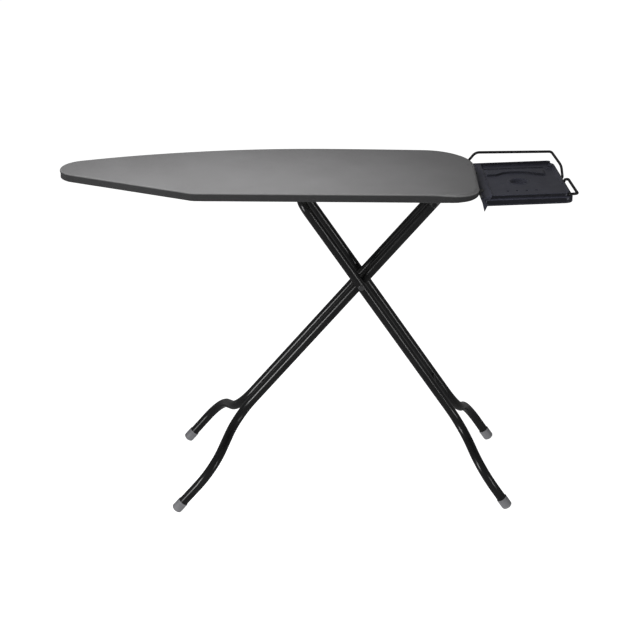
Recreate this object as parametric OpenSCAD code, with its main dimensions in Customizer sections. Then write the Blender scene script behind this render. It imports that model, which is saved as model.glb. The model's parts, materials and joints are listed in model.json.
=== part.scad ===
// Folding ironing board: padded mesh top, crossed hairpin legs, iron rest.
// Millimetres. +Z up, +X from the pointed nose to the iron rest, Y across.
// Origin: floor level, middle of the overall length and depth.

/* [Board] */
// Overall length of the ironing surface
board_length = 1097; // [900:5:1300]
// Height of the ironing surface in use
surface_height = 920; // [750:5:1000]
// Thickness of top, pad and cover together
board_thickness = 23; // [15:1:40]
// Depth from the middle line to the near edge
near_half = 198; // [150:1:230]
// Radius of the pointed nose
nose_r = 68; // [40:1:110]
// Radius of the long curve of the far edge
far_arc_r = 1750; // [1200:10:2600]
// Angle the board is turned by on its legs, seen from above
board_turn = 2.1; // [0:0.1:4]
// Thickness of the cover fabric
cover_t = 1.2; // [0.8:0.1:3]
// Width of the hem turned under the edge
hem_width = 30; // [15:1:60]
// Thickness of the foam pad
pad_t = 12.4; // [4:0.2:20]

/* [Legs] */
// Outside diameter of the leg tubes
tube_d = 22; // [16:0.5:30]
// Wall of the leg tubes
tube_wall = 1.2; // [0.8:0.1:2.5]
// Height of the cross pivot above the floor
pivot_height = 611; // [450:1:700]
// Lean of the outer leg, sideways run per unit of drop
outer_lean = 0.6746; // [0.4:0.001:1.2]
// Lean of the inner leg, sideways run per unit of drop
inner_lean = 0.8466; // [0.4:0.001:1.2]
// Half the spacing of the outer leg's two tubes
outer_half = 54; // [45:0.5:80]
// Half the spacing of the inner leg's two tubes
inner_half = 27; // [20:1:40]
// Angle the outer leg's tubes splay by
outer_splay = 48; // [20:1:55]
// Angle the inner leg's tubes splay by
inner_splay = 48; // [20:1:55]
// Straight run of the outer tubes below the top bend
outer_run = 713; // [400:1:900]
// Straight run of the inner tubes below the top bend
inner_run = 772; // [400:1:900]
// Slanted stretch of the outer tubes
outer_slant = 136; // [80:1:300]
// Slanted stretch of the inner tubes
inner_slant = 179; // [80:1:300]
// Bend radius of the splay
splay_r = 60; // [35:1:120]
// Height of the outer leg's top cross tube
outer_top = 855; // [700:1:880]
// Height of the inner leg's top pin
inner_top = 835; // [700:1:870]

/* [Feet] */
// Outside diameter of the foot caps
cap_d = 26; // [24:0.5:36]
// Length of the foot cap's straight sleeve
cap_length = 30; // [15:1:60]
// Radius of the foot cap's domed end
cap_dome_r = 20; // [15:0.5:40]

/* [Pins] */
// Diameter of the pivot bolt and heel pin
pin_d = 8; // [6:0.5:12]
// Radial running clearance of the pivots
run_fit = 0.05; // [0.02:0.01:0.1]

/* [Iron rest] */
// Length of the iron rest tray
rest_length = 226; // [150:1:300]
// Width of the iron rest tray
rest_width = 290; // [150:1:340]
// Height of the tray's skirt
rest_skirt = 25; // [12:1:40]
// Height of the tray's top above the floor, at the board's end
rest_top = 891; // [700:1:940]
// Rise of the tray away from the board
rest_tilt = 2; // [0:0.5:6]
// Diameter of the guard wires
wire_d = 5.5; // [3:0.5:10]

/* [Hidden] */
$fn = 64;
pivot_x = 120.8;
tube_r = tube_d / 2;
cap_r = cap_d / 2;
pin_r = pin_d / 2;
wire_r = wire_d / 2;
outer_angle = atan(1 / outer_lean);
inner_angle = atan(1 / inner_lean);
outer_arm = (outer_top - pivot_height) / sin(outer_angle);
inner_arm = (inner_top - pivot_height) / sin(inner_angle);
outer_x = pivot_x - outer_arm * cos(outer_angle);
inner_x = pivot_x + inner_arm * cos(inner_angle);
outer_flat = 10;
outer_bend = outer_half - outer_flat;
inner_flat = 2;
bend_rise = 4;
inner_bend = inner_half - inner_flat;

// Board outline, given as arcs in order round the edge: x, y, radius, from, to, steps.
nose_x = pivot_x - 796;
heel_x = nose_x + board_length;
arc_top_x = pivot_x - 100;
nose_c = [nose_x + nose_r, 9.4];
far_half = near_half + 1;
heel_arc_r = 6000;
near_heel_r = 74;
far_heel_r = 130;
far_heel_x = heel_x - 1 - far_heel_r;
far_heel_dy = sqrt(pow(heel_arc_r - far_heel_r, 2) - pow(far_heel_x - arc_top_x, 2));
far_heel_a = atan2(far_heel_dy, far_heel_x - arc_top_x);
edge_arcs = [
    [nose_c[0], nose_c[1], nose_r, 111.9, 246.4, 15],
    [heel_x - 716, 40 - near_half, 40, 246.4, 270, 4],
    [heel_x - 5 - near_heel_r, near_heel_r - near_half, near_heel_r, 270, 358.5, 12],
    [far_heel_x, far_half - heel_arc_r + far_heel_dy, far_heel_r, 358.5, 360 + far_heel_a, 14],
    [arc_top_x, far_half - heel_arc_r, heel_arc_r, far_heel_a, 90, 3],
    [arc_top_x, far_half - far_arc_r, far_arc_r, 90, 111.9, 20]
];
// The board sits on its legs turned a little, about this point.
turn_x = pivot_x - 120;

// Heights of the layers, from the top down.
cover_under = surface_height - cover_t;
pad_top = cover_under - 0.2;
pad_bottom = pad_top - pad_t;
sheet_top = pad_bottom;
sheet_t = 1.2;
sheet_bottom = sheet_top - sheet_t;
board_bottom = surface_height - board_thickness;
rim_bottom = board_bottom + cover_t + 0.2;
rim_width = 14;

// Slide rail under the sheet, and the block that runs in it.
rail_from = pivot_x - 470;
rail_to = pivot_x - 118;
rail_half = 15;
rail_wall = 1.5;
rail_bottom = 879;
neck_half = 7;
block_half = 9;
block_head_z = [rail_bottom + rail_wall + 0.5, rail_bottom + 14];
shoulder_z = rail_bottom - 4.2;

// Iron rest.
rest_from = heel_x + 3;
rest_to = rest_from + rest_length;
rest_half = rest_width / 2;
rest_corner = 14;
rest_wall = 2.5;
arm_half_y = 75;
guard_z = 924;

// ---------- helpers ----------

function arc_points(a, inset) = [
    for (i = [0 : a[5]])
        let (t = a[3] + (a[4] - a[3]) * i / a[5])
            [a[0] + (a[2] - inset) * cos(t), a[1] + (a[2] - inset) * sin(t)]
];

function outline_points(inset) = [
    for (k = [0 : 5]) each arc_points(edge_arcs[k], inset)
];

module outline(inset = 0) {
    translate([turn_x, 0]) rotate(-board_turn) translate([-turn_x, 0])
        polygon(outline_points(inset));
}

module slab(z0, z1, inset = 0) {
    translate([0, 0, z0]) linear_extrude(z1 - z0) outline(inset);
}

module box(lo, hi) {
    translate(lo) cube(hi - lo);
}

// Cylinder along Y, centred on y = 0.
module cross_rod(x, z, r, half) {
    translate([x, half, z]) rotate([90, 0, 0]) cylinder(h = 2 * half, r = r);
}

// Cylinder along Y between two y values.
module y_rod(x, z, r, y0, y1) {
    translate([x, y1, z]) rotate([90, 0, 0]) cylinder(h = y1 - y0, r = r);
}

// Cylinder along X between two x values.
module x_rod(x0, x1, y, z, r) {
    translate([x0, y, z]) rotate([0, 90, 0]) cylinder(h = x1 - x0, r = r);
}

module both_sides() {
    children();
    mirror([0, 1, 0]) children();
}

// Ring or disc that a bar is drawn with; a wall of 0 is solid.
module section(r, wall) {
    if (wall > 0) {
        difference() {
            circle(r = r);
            circle(r = r - wall);
        }
    } else {
        circle(r = r);
    }
}

// Bar along +X, then the children at its end.
module bar(len, r, wall = 0) {
    rotate([0, 90, 0]) linear_extrude(len) section(r, wall);
    translate([len, 0, 0]) children();
}

// Bend to the left by angle a, then the children at its end.
module bend(a, radius, r, wall = 0) {
    translate([0, radius, 0]) rotate([0, 0, -90])
        rotate_extrude(angle = a) translate([radius, 0]) section(r, wall);
    translate([radius * sin(a), radius * (1 - cos(a)), 0]) rotate([0, 0, a]) children();
}

module turn_right() {
    mirror([0, 1, 0]) children();
}

// One tube of a leg below its top bend, in the leg's own plane: x down the
// leg from the top axis, y across. It runs straight, splays and straightens.
module leg_tube(half, from_x, run, phi, slant, tail) {
    translate([from_x, half, 0])
        bar(run, tube_r, tube_wall)
            bend(phi, splay_r, tube_r, tube_wall)
                bar(slant, tube_r, tube_wall)
                    turn_right() bend(phi, splay_r, tube_r, tube_wall)
                        bar(tail, tube_r, tube_wall);
}

// Bend over the top of a leg, with a straight stretch in its middle.
module top_with_flat(flat, radius) {
    translate([0, -flat, 0]) rotate([0, 0, 90]) bar(2 * flat, tube_r, tube_wall);
    both_sides() translate([0, flat, 0]) rotate([0, 0, 90]) turn_right()
        bend(90, radius, tube_r, tube_wall);
}

function splay_step(phi, slant) = 2 * splay_r * (1 - cos(phi)) + slant * sin(phi);
function splay_length(phi, slant) = 2 * splay_r * sin(phi) + slant * cos(phi);

// Places a leg plane: x runs down the leg from the top axis.
module outer_frame() {
    translate([outer_x, 0, outer_top]) rotate([0, outer_angle, 0]) children();
}

module inner_frame() {
    translate([inner_x, 0, inner_top]) rotate([0, 180 - inner_angle, 0]) children();
}

function down_outer(z) = (outer_top - z) / sin(outer_angle);
function down_inner(z) = (inner_top - z) / sin(inner_angle);

// Where the feet come out: half spread, dome centre and straight tail.
outer_foot_half = outer_half + splay_step(outer_splay, outer_slant);
inner_foot_half = inner_half + splay_step(inner_splay, inner_slant);
outer_cap_x = down_outer(cap_dome_r);
inner_cap_x = down_inner(cap_dome_r);
cap_edge = sqrt(cap_dome_r * cap_dome_r - cap_r * cap_r);

// Both tubes of a leg near x, as solid bars a little over size, for cutting saddles.
module tube_cutters(x, half) {
    both_sides() translate([x - 14, half, 0]) rotate([0, 90, 0]) cylinder(h = 28, r = tube_r + 0.04);
}

// Rod across a leg between its two tubes, with saddle ends.
module brace(x, half) {
    difference() {
        cross_rod(x, 0, 5, half - 4);
        tube_cutters(x, half);
    }
}

// Foot cap on a leg plane; x_c is the centre of the dome.
module foot_cap(x_c, y) {
    translate([x_c, y, 0]) rotate([0, 90, 0]) rotate_extrude() difference() {
        intersection() {
            translate([0, cap_edge - cap_length]) square([cap_r, cap_length + cap_dome_r]);
            union() {
                circle(r = cap_dome_r);
                translate([0, cap_edge - cap_length - 1]) square([cap_r + 1, cap_length - cap_edge]);
            }
        }
        translate([-1, cap_edge - cap_length - 1]) square([tube_r + 1.04, cap_length - 5]);
    }
}

module rounded_rect(x0, x1, half, r) {
    union() {
        translate([x0 + r, -half]) square([x1 - x0 - 2 * r, 2 * half]);
        translate([x0, r - half]) square([x1 - x0, 2 * half - 2 * r]);
        for (x = [x0 + r, x1 - r]) for (y = [r - half, half - r]) translate([x, y]) circle(r = r);
    }
}

// ---------- board ----------

module cover() {
    color("#6f7073") difference() {
        slab(board_bottom, surface_height);
        slab(board_bottom + cover_t, cover_under, cover_t);
        slab(board_bottom - 1, board_bottom + cover_t + 1, hem_width);
    }
}

module foam_pad() {
    color("#e8e2d4") slab(pad_bottom, pad_top, 1.6);
}

mesh_pitch_x = 46;
mesh_pitch_y = 30;

module mesh_top() {
    color("#3a3b3d") translate([0, 0, sheet_bottom]) linear_extrude(sheet_t) difference() {
        outline(1.6);
        intersection() {
            outline(34);
            difference() {
                union() {
                    for (row = [-6 : 6]) for (col = [-16 : 16])
                        translate([(col + (row % 2 == 0 ? 0 : 0.5)) * mesh_pitch_x - 120, row * mesh_pitch_y])
                            polygon([[-18, 0], [0, -11], [18, 0], [0, 11]]);
                }
                translate([-800, -24]) square([1600, 48]);
            }
        }
    }
}

module edge_rim() {
    color("#2b2c2e") translate([0, 0, rim_bottom]) linear_extrude(sheet_bottom - rim_bottom) difference() {
        outline(1.6);
        outline(1.6 + rim_width);
    }
}

rib_x = [pivot_x - 585, pivot_x - 50, pivot_x + 85];

module cross_ribs() {
    color("#2b2c2e") translate([0, 0, sheet_bottom - 3]) linear_extrude(3) intersection() {
        outline(1.6 + rim_width);
        union() {
            for (x = rib_x) translate([x - 12, -300]) square([24, 600]);
        }
    }
}

module slide_rail() {
    color("#4a4b4e") difference() {
        box([rail_from, -rail_half, rail_bottom], [rail_to, rail_half, sheet_bottom]);
        box([rail_from - 1, rail_wall - rail_half, rail_bottom + rail_wall],
            [rail_to + 1, rail_half - rail_wall, sheet_bottom - rail_wall]);
        box([rail_from - 1, -neck_half - 0.6, rail_bottom - 1],
            [rail_to + 1, neck_half + 0.6, rail_bottom + 3]);
    }
}

rack_teeth = 7;
rack_pitch = 38;
lock_x = outer_x - 15;
lock_z = outer_top + 13;

module height_rack() {
    color("#8d8f93") both_sides() difference() {
        box([rail_from + 30, rail_half, rail_bottom - 4],
            [rail_to - 6, rail_half + 3, sheet_bottom]);
        for (i = [0 : rack_teeth - 1])
            cross_rod(lock_x - i * rack_pitch, rail_bottom - 4, 3.6, 40);
    }
}

module rail_stops() {
    color("#1d1e20") for (x = [rail_from + 4, rail_to - 9])
        box([x, rail_wall - rail_half, rail_bottom + rail_wall],
            [x + 5, rail_half - rail_wall, sheet_bottom - rail_wall]);
}

bracket_in = inner_half + tube_r + 0.5;
bracket_t = 2;
bracket_long = 32;

module heel_bracket() {
    color("#2f3032") difference() {
        union() {
            both_sides() {
                box([inner_x - 12, bracket_in, inner_top], [inner_x + 12, bracket_in + bracket_t, sheet_bottom]);
                y_rod(inner_x, inner_top, 9, bracket_in, bracket_in + bracket_t);
                box([inner_x - bracket_long, bracket_in, sheet_bottom - bracket_t],
                    [inner_x + bracket_long, bracket_in + 24, sheet_bottom]);
            }
            box([inner_x - bracket_long, -bracket_in - 1, sheet_bottom - bracket_t],
                [inner_x + bracket_long, bracket_in + 1, sheet_bottom]);
        }
        cross_rod(inner_x, inner_top, pin_r, 60);
    }
}

module bracket_rivets() {
    color("#9a9ca0") both_sides() for (dx = [-22, 22])
        translate([inner_x + dx, bracket_in + 14, sheet_bottom - bracket_t - 2])
            cylinder(h = 2, r = 5);
}

module heel_pin() {
    color("#b5b7ba") {
        cross_rod(inner_x, inner_top, pin_r, bracket_in + bracket_t);
        both_sides() y_rod(inner_x, inner_top, pin_r + 2, bracket_in + bracket_t, bracket_in + bracket_t + 2);
    }
}

// ---------- iron rest ----------

// Turns the tray, its arms and its guards up about the tray's board end.
module tilt() {
    translate([rest_from, 0, rest_top]) rotate([0, -rest_tilt, 0])
        translate([-rest_from, 0, -rest_top]) children();
}

module arm_shape(x0, x1, z0, z1, half_w) {
    box([x0, arm_half_y - half_w, z0], [x1, arm_half_y + half_w, z1]);
}

arm_top = rest_top - 5.2;
arm_from = heel_x - 166;
arm_to = rest_to - 22;

module rest_arms() {
    color("#303134") tilt() both_sides() difference() {
        arm_shape(arm_from, arm_to, arm_top - 10, arm_top, 9);
        arm_shape(arm_from - 1, arm_to + 1, arm_top - 8.8, arm_top - 1.2, 7.8);
    }
}

module arm_saddles() {
    color("#303134") both_sides() for (x = [arm_from + 12, arm_from + 98]) {
        difference() {
            box([x - 10, arm_half_y - 9, arm_top - 12], [x + 10, arm_half_y + 9, sheet_bottom - 1.5]);
            tilt() arm_shape(arm_from - 20, arm_to, arm_top - 60, arm_top + 0.02, 20);
        }
        box([x - 10, arm_half_y - 22, sheet_bottom - 1.5], [x + 10, arm_half_y + 22, sheet_bottom]);
    }
}

module arm_screws() {
    color("#b5b7ba") tilt() both_sides() {
        for (x = [arm_from + 12, arm_from + 98])
            translate([x, arm_half_y, arm_top - 12]) cylinder(h = 2, r = 4.5);
        for (x = [rest_from + 40, rest_to - 60])
            translate([x, arm_half_y, arm_top - 12]) cylinder(h = 2, r = 4.5);
    }
}

module arm_plugs() {
    color("#1d1e20") tilt() both_sides() for (x = [arm_from - 2, arm_to])
        arm_shape(x, x + 2, arm_top - 10, arm_top, 9);
}

rest_bottom = rest_top - rest_skirt;

module tray_plan(inset) {
    rounded_rect(rest_from + inset, rest_to - inset, rest_half - inset, rest_corner - inset);
}

module iron_rest() {
    color("#26272c") difference() {
        tilt() difference() {
            translate([0, 0, rest_bottom]) linear_extrude(rest_skirt) tray_plan(0);
            // recess in the top, inside a raised edge
            translate([0, 0, rest_top - 2.5]) linear_extrude(5) tray_plan(9);
            // hollow underside
            translate([0, 0, rest_bottom - 1]) linear_extrude(rest_skirt - 4.2) tray_plan(rest_wall);
            // slots for the arms through the end wall
            both_sides() arm_shape(rest_from - 1, rest_from + 6, rest_bottom - 2, arm_top + 0.3, 9.4);
            // sockets for the side guard's ends
            for (y = [side_near_y, side_far_y]) x_rod(rest_to - 6, rest_to + 2, y, side_z, socket_r);
        }
        // sockets for the back guard's ends
        translate([rest_from + 9, guard_y, rest_top - 7]) cylinder(h = 10, r = socket_r);
        translate([hook_x, guard_y, rest_bottom]) cylinder(h = hook_top - rest_bottom, r = socket_r);
    }
}

socket_r = wire_r + 0.05;
guard_y = rest_half - 7;
guard_foot = rest_bottom + 6;
guard_bend = 30;
guard_out = 21;

guard_low = 850;
hook_bend = 8;
hook_x = rest_to - 16;
hook_top = 895;

// The frame of a wire that stands upright: x along the board, y up.
module upright(x, y, z) {
    translate([x, y, z]) rotate([90, 0, 0]) rotate([0, 0, 90]) turn_right() children();
}

module back_guard() {
    color("#17181a") upright(rest_from + 9, guard_y, guard_foot)
        bar(guard_z - guard_foot - 12, wire_r)
            bend(90, 12, wire_r)
                bar(rest_length - 9 - 12 - guard_bend + guard_out, wire_r)
                    bend(90, guard_bend, wire_r)
                        bar(guard_z - guard_low - guard_bend - hook_bend, wire_r)
                            bend(90, hook_bend, wire_r)
                                bar(guard_out + 16 - 2 * hook_bend, wire_r)
                                    bend(90, hook_bend, wire_r)
                                        bar(hook_top - guard_low - hook_bend, wire_r);
}

side_far_y = 10;
side_near_y = -132;
side_out = 4;
side_bend = 10;
side_z = rest_top - 4;

module side_guard() {
    color("#17181a") tilt() translate([rest_to - 6, side_far_y, side_z]) turn_right()
        bar(6 + side_out, wire_r)
            bend(90, side_bend, wire_r)
                bar(side_far_y - side_near_y - 2 * side_bend, wire_r)
                    bend(90, side_bend, wire_r)
                        bar(6 + side_out, wire_r);
}

// ---------- inner leg ----------

tube_past = cap_edge - 6;
outer_tail = floor(outer_cap_x + tube_past - outer_bend - outer_run
    - splay_length(outer_splay, outer_slant));
inner_tail = floor(inner_cap_x + tube_past - inner_run - splay_length(inner_splay, inner_slant));

module inner_leg() {
    color("#141517") difference() {
        inner_frame() {
            translate([-inner_bend - bend_rise, 0, 0]) top_with_flat(inner_flat, inner_bend);
            both_sides() leg_tube(inner_half, -bend_rise, inner_run + bend_rise, inner_splay, inner_slant, inner_tail);
        }
        cross_rod(inner_x, inner_top, pin_r + run_fit, 60);
        cross_rod(pivot_x, pivot_height, pin_r, 60);
    }
}

module inner_brace() {
    color("#141517") inner_frame() brace(down_inner(292), inner_half);
}

module inner_foot_near() {
    color("#6c6c72") inner_frame() foot_cap(inner_cap_x, -inner_foot_half);
}

module inner_foot_far() {
    color("#6c6c72") inner_frame() foot_cap(inner_cap_x, inner_foot_half);
}

bolt_half = outer_half + tube_r + 2;
gap_in = inner_half + tube_r;
gap_out = outer_half - tube_r;

module pivot_bolt() {
    color("#a9abae") {
        y_rod(pivot_x, pivot_height, pin_r, -bolt_half, bolt_half + 8);
        y_rod(pivot_x, pivot_height, pin_r + 3, -bolt_half - 4, -bolt_half);
    }
}

module bolt_washers() {
    color("#c4c6c8") both_sides() difference() {
        y_rod(pivot_x, pivot_height, pin_r + 4, bolt_half - 1.6, bolt_half);
        y_rod(pivot_x, pivot_height, pin_r, bolt_half - 3, bolt_half + 1);
    }
}

module lock_nut() {
    color("#b5b7ba") difference() {
        translate([pivot_x, bolt_half + 6.5, pivot_height]) rotate([90, 0, 0])
            cylinder(h = 6.5, r = 7.4, $fn = 6);
        y_rod(pivot_x, pivot_height, pin_r, bolt_half - 1, bolt_half + 9);
    }
}

module centre_spacer() {
    color("#1d1e20") difference() {
        cross_rod(pivot_x, pivot_height, pin_r + 4, inner_half - 6);
        cross_rod(pivot_x, pivot_height, pin_r, 40);
        inner_frame() tube_cutters(inner_arm, inner_half);
    }
}

module side_spacers() {
    color("#1d1e20") both_sides() difference() {
        y_rod(pivot_x, pivot_height, pin_r + 5, gap_in - 1.5, gap_out - 0.35);
        y_rod(pivot_x, pivot_height, pin_r, gap_in - 4, gap_out + 4);
        inner_frame() tube_cutters(inner_arm, inner_half);
    }
}

// ---------- outer leg ----------

module outer_leg() {
    color("#141517") difference() {
        outer_frame() {
            top_with_flat(outer_flat, outer_bend);
            both_sides() leg_tube(outer_half, outer_bend, outer_run, outer_splay, outer_slant, outer_tail);
        }
        cross_rod(pivot_x, pivot_height, pin_r + run_fit, 90);
    }
}

module outer_brace() {
    color("#141517") outer_frame() brace(down_outer(297), outer_half);
}

module outer_foot_near() {
    color("#6c6c72") outer_frame() foot_cap(outer_cap_x, -outer_foot_half);
}

module outer_foot_far() {
    color("#6c6c72") outer_frame() foot_cap(outer_cap_x, outer_foot_half);
}

// ---------- slide block and release lever ----------

block_back = 18;
block_front = 36;
block_low = outer_top - 16;
lever_x = outer_x - 27;
lever_z = outer_top - 1;

module slide_block() {
    color("#202124") difference() {
        union() {
            box([outer_x - block_front, -block_half, outer_top], [outer_x + block_back, block_half, shoulder_z]);
            box([outer_x - block_front, -block_half, block_low],
                [outer_x - 14, block_half, shoulder_z]);
            box([outer_x - block_front, -neck_half, shoulder_z - 1],
                [outer_x + block_back, neck_half, block_head_z[1]]);
            box([outer_x - block_front, -rail_half + rail_wall + 0.5, block_head_z[0]],
                [outer_x + block_back, rail_half - rail_wall - 0.5, block_head_z[1]]);
        }
        cross_rod(outer_x, outer_top, tube_r + run_fit, 20);
        cross_rod(lever_x, lever_z, 2.5, 20);
    }
}

module block_cap() {
    color("#2a2b2f") difference() {
        box([outer_x - 14, -block_half, block_low], [outer_x + block_back, block_half, outer_top]);
        cross_rod(outer_x, outer_top, tube_r + run_fit, 20);
    }
}

module block_screws() {
    color("#b5b7ba") for (y = [-5, 5])
        translate([outer_x + 14.8, y, block_low - 1.6]) cylinder(h = 1.6, r = 2.6);
}

cheek_in = block_half + 0.5;
cheek_t = 1.8;

module release_lever() {
    color("#3a3b3e") both_sides() difference() {
        translate([0, cheek_in + cheek_t, 0]) rotate([90, 0, 0]) linear_extrude(cheek_t) polygon([
            [lever_x + 6, lever_z + 7],
            [lever_x + 15, lever_z + 11],
            [lever_x + 15, lever_z + 18],
            [lever_x + 6, lever_z + 18],
            [lever_x - 5, lever_z + 9],
            [lever_x - 30, lever_z + 9],
            [lever_x - 92, lever_z + 2],
            [lever_x - 92, lever_z - 7],
            [lever_x - 30, lever_z - 5],
            [lever_x + 4, lever_z - 7]
        ]);
        cross_rod(lever_x, lever_z, 2.5 + run_fit, 20);
        cross_rod(lock_x, lock_z, 2.5, 20);
    }
}

module lever_grip() {
    color("#6c6c72") difference() {
        union() {
            box([lever_x - 98, -cheek_in, lever_z - 10], [lever_x - 52, cheek_in, lever_z - 0.5]);
            y_rod(lever_x - 98, lever_z - 5.25, 4.75, -cheek_in, cheek_in);
        }
        for (i = [0 : 4]) cross_rod(lever_x - 92 + i * 9, lever_z - 11.2, 2.4, 20);
    }
}

module lever_pin() {
    color("#b5b7ba") {
        cross_rod(lever_x, lever_z, 2.5, cheek_in + cheek_t + 0.3);
        both_sides() y_rod(lever_x, lever_z, 4, cheek_in + cheek_t + 0.3, cheek_in + cheek_t + 1.6);
    }
}

module lock_pin() {
    color("#b5b7ba") both_sides() y_rod(lock_x, lock_z, 2.5, cheek_in, rail_half + 3);
}

// ---------- selection ----------

cover();
foam_pad();
mesh_top();
edge_rim();
cross_ribs();
slide_rail();
height_rack();
rail_stops();
heel_bracket();
bracket_rivets();
heel_pin();
rest_arms();
arm_saddles();
arm_screws();
arm_plugs();
iron_rest();
back_guard();
side_guard();
inner_leg();
inner_brace();
inner_foot_near();
inner_foot_far();
pivot_bolt();
bolt_washers();
lock_nut();
centre_spacer();
side_spacers();
outer_leg();
outer_brace();
outer_foot_near();
outer_foot_far();
slide_block();
block_cap();
block_screws();
release_lever();
lever_grip();
lever_pin();
lock_pin();
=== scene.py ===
import bpy
import bmesh
import json
import math
from mathutils import Matrix, Vector, noise


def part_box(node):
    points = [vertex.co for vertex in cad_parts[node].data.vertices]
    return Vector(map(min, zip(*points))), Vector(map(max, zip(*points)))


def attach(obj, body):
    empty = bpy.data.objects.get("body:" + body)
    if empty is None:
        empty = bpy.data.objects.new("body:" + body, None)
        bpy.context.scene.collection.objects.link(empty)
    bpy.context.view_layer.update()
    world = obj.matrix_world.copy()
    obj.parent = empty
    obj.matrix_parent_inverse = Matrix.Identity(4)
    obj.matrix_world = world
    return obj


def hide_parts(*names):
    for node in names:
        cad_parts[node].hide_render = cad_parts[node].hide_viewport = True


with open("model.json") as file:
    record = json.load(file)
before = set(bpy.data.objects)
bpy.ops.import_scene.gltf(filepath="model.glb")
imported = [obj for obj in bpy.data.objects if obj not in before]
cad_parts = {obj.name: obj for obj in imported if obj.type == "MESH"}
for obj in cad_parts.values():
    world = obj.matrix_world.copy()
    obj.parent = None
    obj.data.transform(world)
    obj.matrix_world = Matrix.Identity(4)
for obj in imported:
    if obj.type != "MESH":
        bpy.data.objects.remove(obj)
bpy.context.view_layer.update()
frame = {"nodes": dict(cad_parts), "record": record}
NODES = frame["nodes"]


def node_mid(name):
    lo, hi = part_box(name)
    return (lo + hi) / 2


# ---------------------------------------------------------------- sizes
# metres, in the frame's own coordinates: x towards the heel, y away from the camera, z up
PIVOT = node_mid("centre_spacer")          # crossing of the legs
PX = PIVOT.x
TUBE_R = 0.0130
TOP_R = 0.0110                             # where the tube is bent under the board
TOP_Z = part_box("cover")[1].z               # top of the cover
UNDER_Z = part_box("cover")[0].z             # underside of the cover's hem
NOSE_X = PX - 0.796
HEEL_X = NOSE_X + 1.097
NEAR_HALF, FAR_HALF = 0.198, 0.199         # half widths of the board, before its turn
SOFT_X0, SOFT_X1 = PX + 0.17, PX + 0.28    # the board's edge grows rounder between these

OUTER_ANGLE = math.atan(1 / 0.6746)        # slope of each leg from the floor
INNER_ANGLE = math.atan(1 / 0.8466)
OUTER_TOP = 0.855                          # height of each leg's top end
INNER_TOP = 0.835
OUTER_X = PX - (OUTER_TOP - PIVOT.z) / math.tan(OUTER_ANGLE)
INNER_X = PX + (INNER_TOP - PIVOT.z) / math.tan(INNER_ANGLE)

# ---------------------------------------------------------------- camera
FOCAL_PX = 1272.3                          # focal length, in pixels of the picture
PICTURE_PX = 640.0
SENSOR = 36.0                              # its width in mm
YAW, PITCH, ROLL = 0.0111, 0.4205, -0.0012 # radians: to the right, down, and about the view
CAM_AT = (PX - 0.1457, -3.2039, 1.9211)


def camera_basis():
    forward = Vector((math.sin(YAW) * math.cos(PITCH), math.cos(YAW) * math.cos(PITCH), -math.sin(PITCH)))
    level = Vector((math.cos(YAW), -math.sin(YAW), 0.0))
    up = level.cross(forward)
    rolled_x = level * math.cos(ROLL) + up * math.sin(ROLL)
    rolled_y = up * math.cos(ROLL) - level * math.sin(ROLL)
    return Matrix((rolled_x, rolled_y, -forward)).transposed().to_4x4()


scene = bpy.context.scene
cam_data = bpy.data.cameras.new("cam")
cam_data.sensor_width = SENSOR
cam_data.lens = FOCAL_PX * SENSOR / PICTURE_PX
cam_data.clip_end = 100.0
cam = bpy.data.objects.new("cam", cam_data)
scene.collection.objects.link(cam)
cam.matrix_world = Matrix.Translation(CAM_AT) @ camera_basis()
scene.camera = cam
scene.view_settings.view_transform = "Standard"


def smooth(a, b, x):
    """0 below a, 1 above b, and an even curve between."""
    t = max(0.0, min(1.0, (x - a) / (b - a)))
    return t * t * (3 - 2 * t)


# ---------------------------------------------------------------- mesh helpers
def link(name, verts, faces, shade_smooth=True):
    """New object from vertices and faces, in the scene."""
    me = bpy.data.meshes.new(name)
    me.from_pydata([tuple(v) for v in verts], [], faces)
    me.validate()
    ob = bpy.data.objects.new(name, me)
    scene.collection.objects.link(ob)
    if shade_smooth:
        me.polygons.foreach_set("use_smooth", [True] * len(me.polygons))
    me.update()
    return ob


def outward(ob):
    """Turns every face to look outward."""
    bm = bmesh.new()
    bm.from_mesh(ob.data)
    bmesh.ops.recalc_face_normals(bm, faces=bm.faces)
    bm.to_mesh(ob.data)
    bm.free()


def fillet(points, radii, step=6.0):
    """Polyline with each inner corner rounded by its radius."""
    pts = [Vector(p) for p in points]
    out = [pts[0]]
    for i in range(1, len(pts) - 1):
        a, b, c = pts[i - 1], pts[i], pts[i + 1]
        r = radii[i - 1]
        d1, d2 = (a - b).normalized(), (c - b).normalized()
        ang = d1.angle(d2)
        turn = math.pi - ang
        if turn < 0.01 or r <= 0:
            out.append(b)
            continue
        t = r / math.tan(ang / 2)
        t = min(t, 0.49 * (a - b).length, 0.49 * (c - b).length)
        r = t * math.tan(ang / 2)
        p1, p2 = b + d1 * t, b + d2 * t
        centre = b + (d1 + d2).normalized() * (r / math.sin(ang / 2))
        n = max(3, int(math.degrees(turn) / step))
        v1, v2 = p1 - centre, p2 - centre
        for k in range(n + 1):
            w = k / n
            s = math.sin(turn)
            v = (v1 * math.sin((1 - w) * turn) + v2 * math.sin(w * turn)) / s if s > 1e-5 else v1.lerp(v2, w)
            out.append(centre + v)
    out.append(pts[-1])
    clean = [out[0]]
    for p in out[1:]:
        if (p - clean[-1]).length > 1e-5:
            clean.append(p)
    return clean


def resample(points, step):
    """Adds points on long straight stretches, so that later detail has vertices."""
    out = [points[0]]
    for a, b in zip(points, points[1:]):
        n = max(1, int((b - a).length / step))
        for k in range(1, n + 1):
            out.append(a.lerp(b, k / n))
    return out


def ring_faces(a, b, segs):
    """Faces between two rings of segs vertices that start at a and b."""
    return [(a + k, a + (k + 1) % segs, b + (k + 1) % segs, b + k) for k in range(segs)]


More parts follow.
